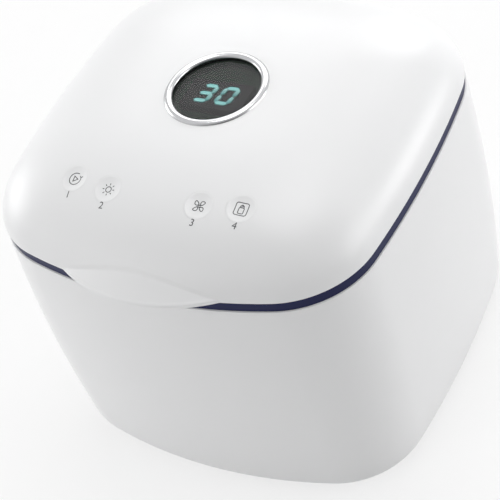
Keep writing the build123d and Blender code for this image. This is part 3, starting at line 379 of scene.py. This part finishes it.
# Navy band: a moulded ABS ring seated in the mouth of the shell by a tongue underneath. Its face stands in a
# little from the wall and the lid.
seam = 215.0
band_top = seam - 0.3
tongue_low = shell_top - 6
band = wall_ring("navy_band", [
    (1.5, band_top), (1.25, seam - 0.55), (1.2, seam - 1.0), (1.2, shell_top + 0.2), (1.35, shell_top),
    (3.3, shell_top), (3.3, tongue_low), (6.0, tongue_low), (6.0, shell_top),
    (10.0, shell_top), (10.0, band_top),
])
navy = surface("navy_gloss_abs", (0.009, 0.012, 0.056), (0.013, 0.017, 0.074), (0.30, 0.38), 700.0, 0.000002,
               fixed={"Specular IOR Level": 0.15})
fit(band, navy, "navy_band", "housing", "trim_ring")

# Lid cover: a domed white ABS moulding with a flat pad for the display, a finger lip that ramps out of the
# front edge, bores for four keys and a notch at the back for the hinge arm.
dome_height = 48.5
dome_flatness = 4.18
dome_edge = 1.63
flat_share = 41.0 / half_width
lid_wall = 2.5
lip_half_width = 62.0
lip_reach = 11.95
lip_edge = 2.2
lip_slope = math.tan(math.radians(35.0))
lip_ramp = 14.0
lip_drop = 6.0
lip_side_room = 8.0
lip_fade = 4.0
lip_bead = 0.6
bead_inside = 0.9
bead_width = 0.7
crease_ridge = 0.8
ridge_above = 1.2
ridge_width = 1.3
crease_groove = 0.5
groove_below = 0.8
groove_width = 0.8
soft_passes = 14
hinge_notch = ((-20.4, 138.5, 214), (20.4, 170, 222.5))
display_hole = 35.3
key_places = ((-65.5, -97.0), (-35.7, -101.3), (35.7, -101.3), (65.5, -97.0))
key_tilt = math.radians(13.284289)
key_radius = 10.7
key_play = 0.03
bore_low = -14.0
bore_high = 10.0
axis_radius = 0.001


def dome_rise(share):
    """Height of the dome above the seam, where share is 0 in the middle and 1 at the rim."""
    share = np.clip(share, flat_share, 1.0)
    return np.where(share <= flat_share, 1.0, 1 - share ** dome_flatness) ** (1 / dome_edge) * dome_height


def lid_profiles(points):
    """Closed radial profile of the lid at every column, as an array of radii and one of heights."""
    edge = np.hypot(points[:, 0], points[:, 1])
    way = points / edge[:, None]
    sag = lip_reach + front_bow - math.sqrt(front_bow ** 2 - lip_half_width ** 2)
    lip_radius = (lip_half_width ** 2 + sag ** 2) / (2 * sag)
    lip_y = -half_depth - lip_reach + lip_radius
    ahead = way[:, 1] * lip_y
    lip_end = ahead + np.sqrt(lip_radius ** 2 - lip_y ** 2 + ahead ** 2)
    front = (points[:, 1] < 0) & (np.abs(points[:, 0]) < lip_half_width + lip_side_room)
    end = np.where(front, np.maximum(edge, lip_end), edge)
    share = 1 - (1 - np.linspace(0, 1, 900)) ** 3
    radius = display_hole + (end[:, None] - display_hole) * share
    dome = seam + np.where(radius < edge[:, None], dome_rise(radius / edge[:, None]), 0)
    inside = lip_radius - np.hypot(radius * way[:, :1], radius * way[:, 1:] - lip_y)
    slope = np.where(inside >= -1e-6, np.minimum(inside * lip_slope, lip_ramp), inside * lip_drop)
    ramp = seam + lip_edge + slope
    fade = np.clip((end - edge)[:, None] / lip_fade, 0, 1)
    above = dome - ramp
    crease = crease_ridge * np.exp(-((above - ridge_above) / ridge_width) ** 2)
    crease = crease - crease_groove * np.exp(-((above + groove_below) / groove_width) ** 2)
    bead = lip_bead * np.exp(-((inside - bead_inside) / bead_width) ** 2)
    height = np.where(front[:, None], np.maximum(dome, ramp) + (crease + bead) * fade, dome)
    bottom = np.stack((end, edge - lid_wall), axis=1)
    inner_share = np.linspace(1, 0, 200) ** 0.5
    inner_edge = edge[:, None] - lid_wall
    inner_radius = display_hole + (inner_edge - display_hole) * inner_share
    inner_height = seam + dome_rise(inner_radius / inner_edge) * (1 - lid_wall / dome_height)
    inner_height[:, 0] = seam
    radii = np.concatenate((radius, bottom, inner_radius), axis=1)
    heights = np.concatenate((height, np.full_like(bottom, seam), inner_height), axis=1)
    return radii, heights


def resample(track, marks):
    """Columns of a track of points, taken at given shares of its length."""
    step = np.hypot(*np.diff(track, axis=0).T)
    length = np.concatenate(([0], np.cumsum(step)))
    return np.column_stack([np.interp(marks * length[-1], length, track[:, axis]) for axis in (0, 1)])


def lid_mesh():
    """The lid as a grid of columns round the display hole, with every corner softened a little."""
    points, _ = outline_columns(2.2, 1.2)
    radii, heights = lid_profiles(points)
    way = points / np.hypot(points[:, 0], points[:, 1])[:, None]
    fine = np.linspace(0, 1, 1400)
    tracks = np.array([resample(np.column_stack(pair), fine) for pair in zip(radii, heights)])
    for _ in range(soft_passes):
        tracks[:, 1:-1] = (tracks[:, :-2] + 2 * tracks[:, 1:-1] + tracks[:, 2:]) / 4
    rows = []
    for track in tracks:
        low = np.argmax(track[:, 0] - 2 * (track[:, 1] - seam))
        outer = resample(track[:low + 1], 1 - (1 - np.linspace(0, 1, 120)) ** 1.8)
        rows.append(np.concatenate((outer, resample(track[low:], np.linspace(0, 1, 28)[1:] ** 1.5))))
    rows = np.array(rows)
    grid = np.concatenate((rows[:, :, :1] * way[:, None, :], rows[:, :, 1:]), axis=2)
    return net(grid.transpose(1, 0, 2))


def dome_z(x, y):
    """Height of the lid's outer surface at a place in plan, in mm."""
    along = np.arctan2(outline_fine[:, 1], outline_fine[:, 0])
    edge = np.hypot(outline_fine[:, 0], outline_fine[:, 1])
    reach = np.interp(np.arctan2(y, x), along, edge, period=2 * math.pi)
    return seam + dome_rise(np.hypot(x, y) / reach)


outline_fine, _ = outline_columns(0.5)
outline_fine = outline_fine[np.argsort(np.arctan2(outline_fine[:, 1], outline_fine[:, 0]))]
key_axes = np.array([
    (1, 0, 0),
    (0, math.cos(key_tilt), math.sin(key_tilt)),
    (0, -math.sin(key_tilt), math.cos(key_tilt)),
])


def turned(name, profile, columns=96, origin=(0, 0, 0), axes=np.eye(3), sharp=35.0):
    """Piece turned about the third axis, from a closed loop of radii and heights in mm."""
    turns = np.linspace(0, 2 * math.pi, columns, endpoint=False)
    ring = np.column_stack((np.cos(turns), np.sin(turns), np.ones(columns)))
    grid = [ring * (radius, radius, height) @ axes + origin for radius, height in profile]
    return add_mesh(name, *net(np.array(grid)), sharp)


lid = add_mesh("lid_moulding", *lid_mesh())
tools = [block(*hinge_notch)]
for x, y in key_places:
    bore = key_radius + key_play
    loop = [(axis_radius, bore_low), (bore, bore_low), (bore, bore_high), (axis_radius, bore_high)]
    tools.append(turned("cutter", loop, 96, (x, y, float(dome_z(x, y))), key_axes))
cut(lid, tools)
fit(lid, white, "white_shell", "lid", "lid_cover")

# Four keys: dished white caps that carry on the line of the dome, each with a flange under the lid and a
# stem that reaches its switch. A thin printed sign lies in each dish.
dish_radius = 9.6
dish_depth = 1.3
dish_flatness = 2.5
dish_rim = 1.15
rim_round = 0.3
rim_drop = 0.06
skirt_top = -1.2
flange_top = -7.0
flange_low = -8.2
flange_radius = 11.9
stem_radius = 2.6
key_columns = 96


def key_surface(place, u, v, lift=0.0):
    """Points on a key's dished face, from places across its own axes."""
    x, y = place
    start = np.array((x, y, float(dome_z(x, y))))
    height = np.zeros_like(u)
    for _ in range(6):
        spot = (start + u[..., None] * key_axes[0] + v[..., None] * key_axes[1]
                + height[..., None] * key_axes[2])
        height += (dome_z(spot[..., 0], spot[..., 1]) - spot[..., 2]) * key_axes[2][2]
    share = np.clip(np.hypot(u, v) / dish_radius, 0, 1)
    dish = dish_depth * (1 - share ** dish_flatness) ** dish_rim
    return spot + (lift - dish)[..., None] * key_axes[2]


def key_mesh(name, place):
    x, y = place
    start = Vector((x, y, float(dome_z(x, y)))) / 1000
    axis = Vector(key_axes[2])
    stem_end = min((vertex.co - start).dot(axis) for vertex in nodes[name].data.vertices) * 1000
    turns = np.linspace(0, 2 * math.pi, key_columns, endpoint=False)
    rows = []
    face_radii = list(np.linspace(0.5, key_radius - rim_round, 26))
    for radius in [axis_radius] + face_radii + [key_radius - 0.12, key_radius - 0.03]:
        past = max(0, (radius - key_radius + rim_round) / rim_round)
        drop = np.full(key_columns, -rim_drop * past ** 2)
        rows.append(key_surface(place, radius * np.cos(turns), radius * np.sin(turns), drop))
    for radius, height in (
        (key_radius, skirt_top), (key_radius, flange_top), (flange_radius, flange_top),
        (flange_radius, flange_low), (stem_radius, flange_low), (stem_radius, stem_end),
        (axis_radius, stem_end),
    ):
        ring = np.column_stack((radius * np.cos(turns), radius * np.sin(turns), np.full(key_columns, height)))
        rows.append(ring @ key_axes + (x, y, float(dome_z(x, y))))
    return net(np.array(rows), closed=False)


def arc(x, y, radius, first, last, count=40):
    """Points along part of a circle, between two angles in degrees."""
    turns = np.radians(np.linspace(first, last, count))
    return np.column_stack((x + radius * np.cos(turns), y + radius * np.sin(turns)))


def printed_line(points, half):
    """Left and right edge of a line of ink, in the plane of the key."""
    closed = np.allclose(points[0], points[-1])
    steps = np.hypot(*np.diff(points, axis=0).T)
    length = np.concatenate(([0], np.cumsum(steps)))
    marks = np.unique(np.concatenate((length, np.arange(0, length[-1], 0.35))))
    track = np.column_stack([np.interp(marks, length, points[:, axis]) for axis in (0, 1)])
    ways = np.diff(track, axis=0)
    ways /= np.hypot(*ways.T)[:, None]
    before = np.concatenate((ways[-1:] if closed else ways[:1], ways))
    after = np.concatenate((ways, ways[:1] if closed else ways[-1:]))
    across = before + after
    across = np.column_stack((-across[:, 1], across[:, 0])) / np.hypot(*across.T)[:, None]
    grow = half / np.maximum(0.45, np.abs(across[:, 0] * -before[:, 1] + across[:, 1] * before[:, 0]))
    return track + across * grow[:, None], track - across * grow[:, None]


def printed_mesh(place, lines, half):
    """Raised print on a key: every line is a thin strip that follows the dish."""
    points = []
    faces = []
    for line in lines:
        left, right = printed_line(line, half)
        start = len(points)
        for (u, v), lift in ((left.T, 0.03), (right.T, 0.03), (right.T, -0.05), (left.T, -0.05)):
            points.extend(key_surface(place, u, v, np.full(len(u), lift)))
        count = len(left)
        rings = start + np.arange(4)[:, None] * count + np.arange(count)
        for side in range(4):
            near, far = rings[side], rings[(side + 1) % 4]
            faces.extend(np.column_stack((near[:-1], near[1:], far[1:], far[:-1])).tolist())
        faces.append(rings[:, 0].tolist())
        faces.append(rings[:, -1].tolist())
    return np.array(points), faces


def petal(turn):
    """One rounded fan blade that leans round the hub."""
    turns = np.linspace(0, 2 * math.pi, 40)
    x = 3.0 + 1.75 * np.cos(turns)
    y = 1.25 * np.sin(turns) + 0.5 * np.sin(turns) ** 2
    cos, sin = math.cos(math.radians(turn)), math.sin(math.radians(turn))
    return np.column_stack((x * cos - y * sin, x * sin + y * cos))


def rounded(half_x, half_y, corner, y=0.0):
    """Closed outline of a box with round corners."""
    ends = [(half_x - corner, half_y - corner, 0), (corner - half_x, half_y - corner, 90)]
    ends += [(corner - half_x, corner - half_y, 180), (half_x - corner, corner - half_y, 270)]
    points = np.concatenate([arc(x, y + rise, corner, turn, turn + 90, 8) for x, rise, turn in ends])
    return np.concatenate((points, points[:1]))


ink_half_width = 0.3
ink = surface("grey_print", (0.045, 0.047, 0.052), (0.06, 0.062, 0.068), (0.4, 0.55), 1500.0, 0.000002)
signs = {
    1: [arc(0, 0, 4.5, 65, 380), np.array([(3.1, 2.6), (4.25, 1.45), (5.6, 2.4)]),
        np.array([(-1.3, -2.0), (2.2, 0.0), (-1.3, 2.0), (-1.3, -2.0)])],
    2: [arc(0, 0, 2.1, 0, 360)] + [
        np.array([(3.3 * math.cos(turn), 3.3 * math.sin(turn)), (4.7 * math.cos(turn), 4.7 * math.sin(turn))])
        for turn in np.radians(np.arange(0, 360, 45))],
    3: [petal(turn) for turn in (45, 135, 225, 315)] + [arc(0, 0, 0.75, 0, 360, 16)],
    4: [rounded(4.6, 4.6, 1.5), rounded(1.9, 2.2, 0.8, -1.1), rounded(1.35, 0.55, 0.3, 1.75),
        arc(0, 2.3, 0.8, 0, 180, 12)],
}
for number, place in enumerate(key_places, start=1):
    key = add_mesh(f"key_cap_{number}", *key_mesh(f"key_{number}", place))
    fit(key, white, "white_shell", f"key_{number}", f"key_{number}")
    sign = add_mesh(f"key_sign_{number}", *printed_mesh(place, signs[number], ink_half_width))
    fit(sign, ink, "component_dark", f"key_{number}")

# Numbers 1 to 4: printed on the lid in front of the keys, in the same grey ink as the signs.
number_drop = 12.3
print_lift = 0.00002
for number, (x, y) in enumerate(key_places, start=1):
    letters = bpy.data.curves.new(f"number_{number}", "FONT")
    letters.body = str(number)
    letters.size = 0.0072
    letters.offset = -0.00004
    letters.extrude = 0.00005
    letters.align_x = "CENTER"
    letters.align_y = "CENTER"
    text = bpy.data.objects.new(f"number_{number}", letters)
    scene.collection.objects.link(text)
    spot_y = y - number_drop
    slope_x = float(dome_z(x + 0.5, spot_y) - dome_z(x - 0.5, spot_y))
    slope_y = float(dome_z(x, spot_y + 0.5) - dome_z(x, spot_y - 0.5))
    up = Vector((-slope_x, -slope_y, 1)).normalized()
    right = Vector((1, 0, slope_x)).normalized()
    turn = Matrix((right, up.cross(right), up)).transposed().to_4x4()
    middle = Vector((x, spot_y, float(dome_z(x, spot_y)))) / 1000
    text.matrix_world = Matrix.Translation(middle + up * print_lift) @ turn
    fit(text, ink, "component_dark", "lid")

# Display bezel: a turned brass ring, chrome plated and polished, whose round crest stands 2 mm above the lid
# and hangs a little over its throat. A black sleeve lines the throat down to the window.
pad_top = seam + dome_height
bezel_lift = 2.0
bezel_depth = 12.0
bezel_inner = 31.9
throat = 33.1
crest = 35.0
ring_waist = pad_top - 0.4
ring_top = pad_top + bezel_lift
window_sink = 3.8
outer_radius = 3.46


def bezel_material():
    finish = Finish("chrome_plate")
    haze = finish.noise(60.0, 2.0)
    return finish.shade({
        "Base Color": finish.mix(haze, (0.49, 0.495, 0.505), (0.55, 0.555, 0.565)),
        "Metallic": 1.0,
        "Roughness": finish.spread(haze, 0.20, 0.25),
        "Normal": finish.bump(finish.noise(1400.0), 0.0000005),
    })


loop = [(throat, pad_top - bezel_depth), (throat, ring_waist - 1.1)]
for turn in np.linspace(-0.4, math.pi / 2, 20):
    across = crest - (crest - bezel_inner) * math.cos(turn)
    loop.append((across, ring_waist + (ring_top - ring_waist) * math.sin(turn)))
for turn in np.linspace(math.pi / 2, math.radians(25.0), 20)[1:]:
    loop.append((crest + outer_radius * math.cos(turn), ring_top - outer_radius * (1 - math.sin(turn))))
loop += [(loop[-1][0], pad_top - 0.1), (throat + 2, pad_top - 0.1), (throat + 2, pad_top - bezel_depth)]
bezel = turned("chrome_ring", loop, 240, sharp=50.0)
fit(bezel, bezel_material(), "bezel_chrome", "lid", "display_bezel")
black = surface("black_moulded", (0.012, 0.012, 0.013), (0.022, 0.022, 0.024), (0.35, 0.5), 1100.0, 0.00001)
window_top = ring_top - window_sink
sleeve = turned("display_sleeve", [
    (throat - 0.02, window_top + 0.02), (throat - 0.02, ring_waist - 0.5),
    (throat - 0.3, ring_waist - 0.5), (throat - 0.35, window_top + 0.02),
], 160)
fit(sleeve, black, "black_plastic", "lid")

# Display window: a disc of smoked acrylic with a polished edge, bonded in the throat of the bezel.
window_thick = 1.8
window_radius = 33.05


def window_material():
    finish = Finish("smoked_acrylic")
    haze = finish.noise(25.0, 2.0)
    return finish.shade({
        "Base Color": finish.mix(haze, (0.012, 0.012, 0.013), (0.018, 0.018, 0.019)),
        "Roughness": finish.spread(haze, 0.08, 0.16),
        "IOR": 1.49,
        "Specular IOR Level": 0.22,
        "Alpha": 0.45,
    })


loop = [(axis_radius, window_top), (window_radius - 0.3, window_top), (window_radius, window_top - 0.3)]
loop += [(window_radius, window_top - window_thick), (axis_radius, window_top - window_thick)]
window = turned("display_glass", loop, 160, sharp=30.0)
fit(window, window_material(), "smoked_window", "lid", "display_window")

# Display digits: two slanted digits of lit bars with pointed ends behind the window. Each upright bar has a
# painted highlight at its top and a glow painted darker towards its foot, and a dim edge of light shows round
# every bar.
digit_y = -2.0
digit_width = 12.4
digit_height = 18.0
digit_pitch = 17.0
digit_stroke = 2.7
digit_slant = math.tan(math.radians(10.0))
bar_gap = 0.25
bar_thick = 0.3
edge_drop = 0.25
edge_grow = 0.8
digit_top = window_top - window_thick - 0.1
bar_places = {
    "a": (0, 1, True), "b": (1, 0.5, False), "c": (1, -0.5, False), "d": (0, -1, True),
    "e": (-1, -0.5, False), "f": (-1, 0.5, False), "g": (0, 0, True),
}


def bar_mesh(shown, level, top, grow=0.0):
    """The level or upright bars of the shown digits as low six-sided blocks."""
    points = []
    faces = []
    half_w = (digit_width - digit_stroke) / 2
    half_h = (digit_height - digit_stroke) / 2
    side = digit_stroke / 2 + grow
    for place, names in enumerate(shown):
        middle_x = (place - (len(shown) - 1) / 2) * digit_pitch
        for x, y, lies in (bar_places[name] for name in names):
            if lies != level:
                continue
            reach = (half_w if level else half_h / 2) - bar_gap + grow
            ring = [(-reach, 0), (side - reach, side), (reach - side, side)]
            ring += [(-u, -v) for u, v in ring]
            start = len(points)
            for height in (top - bar_thick, top):
                for u, v in ring:
                    bar_x, bar_y = (u, v) if level else (v, u)
                    bar_x += x * half_w
                    bar_y += y * half_h
                    points.append((middle_x + bar_x + bar_y * digit_slant, digit_y + bar_y, height))
            low = [start + index for index in range(6)]
            faces += [low, [corner + 6 for corner in low]]
            faces += [[low[index - 1], low[index], low[index] + 6, low[index - 1] + 6] for index in range(6)]
    return points, faces


def lit_material(name, low, high, strength):
    """Lit plastic whose glow is painted from high at the top to low at the foot of each half of a digit, a
    painted highlight.
    """
    finish = Finish(name)
    height = finish.node("SeparateXYZ", None, {0: finish.place()}, output=1)
    half = (digit_height - digit_stroke) / 2000
    # Painted highlight: the emission is brightest at the top of each half digit and darker below it.
    share = finish.node("Math", {"operation": "FRACT"}, {0: (height - digit_y / 1000 + 2 * half) / half})
    return finish.shade({
        "Base Color": finish.mix(finish.noise(300.0), (0.03, 0.20, 0.20), (0.04, 0.26, 0.26)),
        "Roughness": finish.spread(finish.noise(400.0), 0.35, 0.5),
        "Emission Color": finish.mix(share, low, high),
        "Emission Strength": strength,
    })


shown = ("abgcd", "abcdef")
upright = add_mesh("digit_bars_upright", *bar_mesh(shown, False, digit_top))
# The upright bars glow with a painted highlight at the top and painted shade at the foot.
bar_glow_painted_highlight = lit_material("lit_bar", (0.05, 0.30, 0.29), (0.55, 1.0, 0.97), 1.9)
fit(upright, bar_glow_painted_highlight, "lit_cyan", "lid", "display_segments")
level_bars = add_mesh("digit_bars_level", *bar_mesh(shown, True, digit_top))
lit_even = lit_material("lit_bar_even", (0.36, 0.92, 0.88), (0.42, 0.95, 0.92), 1.9)
fit(level_bars, lit_even, "lit_cyan", "lid")
spill = lit_material("light_spill", (0.006, 0.055, 0.06), (0.010, 0.075, 0.08), 1.0)
for name, level in (("digit_edge_upright", False), ("digit_edge_level", True)):
    edge = add_mesh(name, *bar_mesh(shown, level, digit_top - edge_drop, edge_grow))
    fit(edge, spill, "lit_cyan", "lid")

# Rear and underside: white mouldings of the filter drawer, the air outlet and the bottom plate, with a black
# inlet, grey rubber feet, plated screws and a powder-coated hinge on a steel pin.
dress(white, "filter_tray", "exhaust_grille")
satin = surface("white_satin_abs", (0.74, 0.745, 0.75), (0.78, 0.783, 0.786), (0.42, 0.55), 1400.0, 0.000012)
dress(satin, "base_plate", "top_frame", "lid_liner", "exhaust_duct", "filter_housing", "air_duct")
dress(black, "power_inlet", "display_module", "lid_switch", "blower_housing", "blower_cover", "impeller")
rubber = surface("grey_rubber", (0.045, 0.045, 0.048), (0.07, 0.07, 0.074), (0.65, 0.85), 2200.0, 0.00004,
                 mottle=0.4)
dress(rubber, "feet")
powder = surface("white_powder_coat", (0.72, 0.723, 0.73), (0.77, 0.772, 0.776), (0.4, 0.5), 1800.0, 0.00003)
dress(powder, "hinge_bracket", "lid_hinge_arm")
plated = surface("zinc_plate", (0.52, 0.525, 0.54), (0.64, 0.645, 0.655), (0.22, 0.38), 900.0, 0.00001,
                 fixed={"Metallic": 1.0})
dress(plated, "body_screws", "lid_screws", "hinge_pin")
brass = surface("sintered_brass", (0.52, 0.38, 0.16), (0.66, 0.50, 0.24), (0.3, 0.45), 1300.0, 0.00002,
                mottle=0.5, fixed={"Metallic": 1.0})
dress(brass, "hinge_bushes", "inlet_pins")

# Chamber: a drawn steel liner and a punched floor, brushed along X, with a soft white seal on the lid.
steel = surface("brushed_steel", (0.56, 0.565, 0.575), (0.68, 0.685, 0.69), (0.24, 0.40), 260.0, 0.000012,
                (0.06, 1.0, 1.0), 0.5, {"Metallic": 1.0})
dress(steel, "chamber_liner", "floor_grille", "tube_guard", "heater_frame")
mirror = surface("rolled_aluminium", (0.80, 0.805, 0.81), (0.86, 0.865, 0.87), (0.08, 0.18), 500.0, 0.000004,
                 (0.1, 1.0, 1.0), 0.3, {"Metallic": 1.0})
dress(mirror, "lower_reflector", "upper_reflector", "heater_fins")
silicone = surface("white_silicone", (0.60, 0.605, 0.61), (0.68, 0.682, 0.685), (0.5, 0.62), 1500.0, 0.00001,
                   fixed={"Subsurface Weight": 0.1})
dress(silicone, "lid_seal")

# Bottle rack: welded steel wire, polished after welding, which lifts out of the chamber.
wire = surface("polished_wire", (0.66, 0.665, 0.675), (0.76, 0.765, 0.77), (0.12, 0.24), 700.0, 0.000008,
               fixed={"Metallic": 1.0})
dress(wire, "rack_floor", "rack_front", "rack_back", "rack_left", "rack_right")

# Ultraviolet tubes: clear quartz with pressed ceramic end caps that plug into ceramic holders.


def quartz_material():
    finish = Finish("clear_quartz")
    haze = finish.noise(80.0, 3.0)
    return finish.shade({
        "Base Color": finish.mix(haze, (0.62, 0.68, 0.84), (0.72, 0.78, 0.92)),
        "Roughness": finish.spread(haze, 0.04, 0.12),
        "IOR": 1.46,
        "Alpha": 0.45,
    })


dress(quartz_material(), "lower_uv_tube", "upper_uv_tube")
ceramic = surface("pressed_ceramic", (0.66, 0.65, 0.62), (0.74, 0.73, 0.70), (0.45, 0.6), 1000.0, 0.00002)
dress(ceramic, "lower_tube_caps", "upper_tube_caps", "lower_tube_holders", "upper_tube_holders")

# Base: circuit boards with dark moulded components, the blower's rolled steel motor, and a fleece filter pad.


def board_material():
    finish = Finish("green_board")
    tracks = finish.node("TexBrick", {"offset": 0.3}, {
        "Vector": finish.place(), "Scale": 60.0, "Mortar Size": 0.03,
        "Color1": (1, 1, 1), "Color2": (0.8, 0.8, 0.8), "Mortar": (0, 0, 0),
    }, output=1)
    return finish.shade({
        "Base Color": finish.mix(tracks, (0.012, 0.085, 0.035), (0.03, 0.16, 0.07)),
        "Roughness": finish.spread(finish.noise(600.0), 0.3, 0.45),
        "Normal": finish.bump(tracks, 0.00003),
    })


dress(board_material(), "main_board", "control_board", "display_board")
moulded = surface("dark_moulded", (0.022, 0.022, 0.025), (0.04, 0.04, 0.044), (0.45, 0.6), 1200.0, 0.00002)
dress(moulded, "board_components", "tact_switches")
rolled = surface("rolled_steel", (0.44, 0.445, 0.455), (0.55, 0.555, 0.56), (0.28, 0.42), 400.0, 0.00001,
                 (1.0, 1.0, 0.1), 0.4, {"Metallic": 1.0})
dress(rolled, "blower_motor", "lid_magnet")
fleece = surface("filter_fleece", (0.66, 0.68, 0.70), (0.84, 0.85, 0.86), (0.85, 0.95), 1600.0, 0.0002,
                 mottle=0.8)
dress(fleece, "filter_pad")

size = {"cad": [list(corner) for corner in cad_size], "visual": [list(corner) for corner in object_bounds()]}
